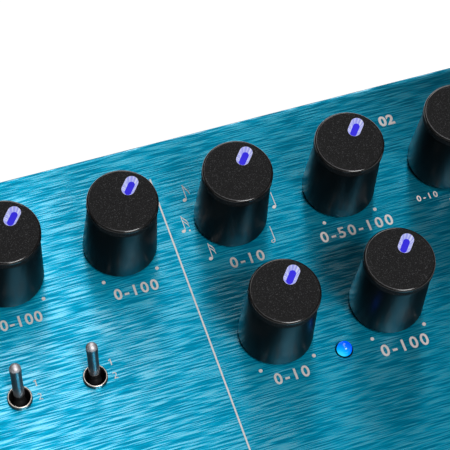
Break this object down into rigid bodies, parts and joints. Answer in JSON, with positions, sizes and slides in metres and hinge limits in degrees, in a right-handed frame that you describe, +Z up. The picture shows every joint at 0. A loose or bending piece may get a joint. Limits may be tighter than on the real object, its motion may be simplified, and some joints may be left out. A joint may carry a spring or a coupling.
{
  "type": "guitar effects pedal",
  "caption": "Wedge-shaped brushed metal effects pedal with tall round knobs that carry lit pointers, small toggle levers, footswitches and sockets in the rear wall.",
  "frame": {"origin": "on the surface that the feet stand on, under the middle of the overall footprint, rear sockets included", "axes": "+X to the player's right, +Y from the player towards the rear sockets, +Z up"},
  "size_m": [0.172, 0.1294, 0.0623],
  "materials": {
    "brushed_shell": "brushed and anodised, satin",
    "base_plate": "black powder coat",
    "control_board": "circuit board with moulded housings",
    "moulded_black": "moulded black",
    "led_lens": "lit blue lens",
    "rubber_feet": "matte",
    "polished_steel": "polished",
    "knob_skirt": "satin black",
    "knob_cap": "finely grained soft-touch black",
    "lit_shaft": "clear light guide, lit blue"
  },
  "bodies": {
    "housing": {"shell": "brushed_shell", "base_plate": "base_plate", "control_board": "control_board", "dc_socket": "moulded_black", "tempo_led": "led_lens", "status_led_1": "led_lens", "status_led_2": "led_lens", "foot_1": "rubber_feet", "foot_2": "rubber_feet", "foot_3": "rubber_feet", "foot_4": "rubber_feet", "plate_screw_1": "polished_steel", "plate_screw_2": "polished_steel", "plate_screw_3": "polished_steel", "plate_screw_4": "polished_steel", "toggle_1_body": "moulded_black", "toggle_2_body": "moulded_black", "toggle_3_body": "moulded_black", "toggle_4_body": "moulded_black", "footswitch_1_body": "moulded_black", "footswitch_1_nut": "polished_steel", "footswitch_2_body": "moulded_black", "footswitch_2_nut": "polished_steel", "footswitch_3_body": "moulded_black", "footswitch_3_nut": "polished_steel", "jack_1": "moulded_black", "jack_2": "moulded_black", "jack_3": "moulded_black", "jack_4": "moulded_black"},
    "knob_1": {"knob_1_skirt": "knob_skirt", "knob_1_cap": "knob_cap", "knob_1_shaft": "lit_shaft"},
    "knob_2": {"knob_2_skirt": "knob_skirt", "knob_2_cap": "knob_cap", "knob_2_shaft": "lit_shaft"},
    "knob_3": {"knob_3_skirt": "knob_skirt", "knob_3_cap": "knob_cap", "knob_3_shaft": "lit_shaft"},
    "knob_4": {"knob_4_skirt": "knob_skirt", "knob_4_cap": "knob_cap", "knob_4_shaft": "lit_shaft"},
    "knob_5": {"knob_5_skirt": "knob_skirt", "knob_5_cap": "knob_cap", "knob_5_shaft": "lit_shaft"},
    "knob_6": {"knob_6_skirt": "knob_skirt", "knob_6_cap": "knob_cap", "knob_6_shaft": "lit_shaft"},
    "knob_7": {"knob_7_skirt": "knob_skirt", "knob_7_cap": "knob_cap", "knob_7_shaft": "lit_shaft"},
    "knob_8": {"knob_8_skirt": "knob_skirt", "knob_8_cap": "knob_cap", "knob_8_shaft": "lit_shaft"},
    "toggle_1": {"toggle_1_lever": "polished_steel"},
    "toggle_2": {"toggle_2_lever": "polished_steel"},
    "toggle_3": {"toggle_3_lever": "polished_steel"},
    "toggle_4": {"toggle_4_lever": "polished_steel"},
    "plunger_1": {"footswitch_1_plunger": "polished_steel"},
    "plunger_2": {"footswitch_2_plunger": "polished_steel"},
    "plunger_3": {"footswitch_3_plunger": "polished_steel"}
  },
  "joints": [
    {"name": "knob_1_turn", "type": "hinge", "parent": "housing", "child": "knob_1", "pos_m": [-0.06, 0.03996, 0.04285], "axis": [0, -0.1219, 0.9925], "range_deg": [-110, 190]},
    {"name": "knob_2_turn", "type": "hinge", "parent": "housing", "child": "knob_2", "pos_m": [-0.036, 0.03996, 0.04285], "axis": [0, -0.1219, 0.9925], "range_deg": [-110, 190]},
    {"name": "knob_3_turn", "type": "hinge", "parent": "housing", "child": "knob_3", "pos_m": [-0.012, 0.03996, 0.04285], "axis": [0, -0.1219, 0.9925], "range_deg": [-110, 190]},
    {"name": "knob_4_turn", "type": "hinge", "parent": "housing", "child": "knob_4", "pos_m": [0.012, 0.03996, 0.04285], "axis": [0, -0.1219, 0.9925], "range_deg": [-110, 190]},
    {"name": "knob_5_turn", "type": "hinge", "parent": "housing", "child": "knob_5", "pos_m": [0.036, 0.03996, 0.04285], "axis": [0, -0.1219, 0.9925], "range_deg": [-110, 190]},
    {"name": "knob_6_turn", "type": "hinge", "parent": "housing", "child": "knob_6", "pos_m": [0.06, 0.03996, 0.04285], "axis": [0, -0.1219, 0.9925], "range_deg": [-110, 190]},
    {"name": "knob_7_turn", "type": "hinge", "parent": "housing", "child": "knob_7", "pos_m": [0.012, 0.01237, 0.03946], "axis": [0, -0.1219, 0.9925], "range_deg": [-110, 190]},
    {"name": "knob_8_turn", "type": "hinge", "parent": "housing", "child": "knob_8", "pos_m": [0.036, 0.01237, 0.03946], "axis": [0, -0.1219, 0.9925], "range_deg": [-110, 190]},
    {"name": "toggle_1_throw", "type": "hinge", "parent": "housing", "child": "toggle_1", "pos_m": [-0.0563, 0.01356, 0.0388], "axis": [1, 0, 0], "range_deg": [0, 37]},
    {"name": "toggle_2_throw", "type": "hinge", "parent": "housing", "child": "toggle_2", "pos_m": [-0.0409, 0.01356, 0.0388], "axis": [1, 0, 0], "range_deg": [0, 37]},
    {"name": "toggle_3_throw", "type": "hinge", "parent": "housing", "child": "toggle_3", "pos_m": [-0.0255, 0.01356, 0.0388], "axis": [1, 0, 0], "range_deg": [0, 37]},
    {"name": "toggle_4_throw", "type": "hinge", "parent": "housing", "child": "toggle_4", "pos_m": [0.06, 0.01356, 0.0388], "axis": [1, 0, 0], "range_deg": [0, 37]},
    {"name": "footswitch_1_press", "type": "slide", "parent": "housing", "child": "plunger_1", "axis": [0, 0.1219, -0.9925], "range_m": [0, 0.0025], "stiffness_N_per_m": 3000, "springref_m": -0.0005},
    {"name": "footswitch_2_press", "type": "slide", "parent": "housing", "child": "plunger_2", "axis": [0, 0.1219, -0.9925], "range_m": [0, 0.0025], "stiffness_N_per_m": 3000, "springref_m": -0.0005},
    {"name": "footswitch_3_press", "type": "slide", "parent": "housing", "child": "plunger_3", "axis": [0, 0.1219, -0.9925], "range_m": [0, 0.0025], "stiffness_N_per_m": 3000, "springref_m": -0.0005}
  ]
}
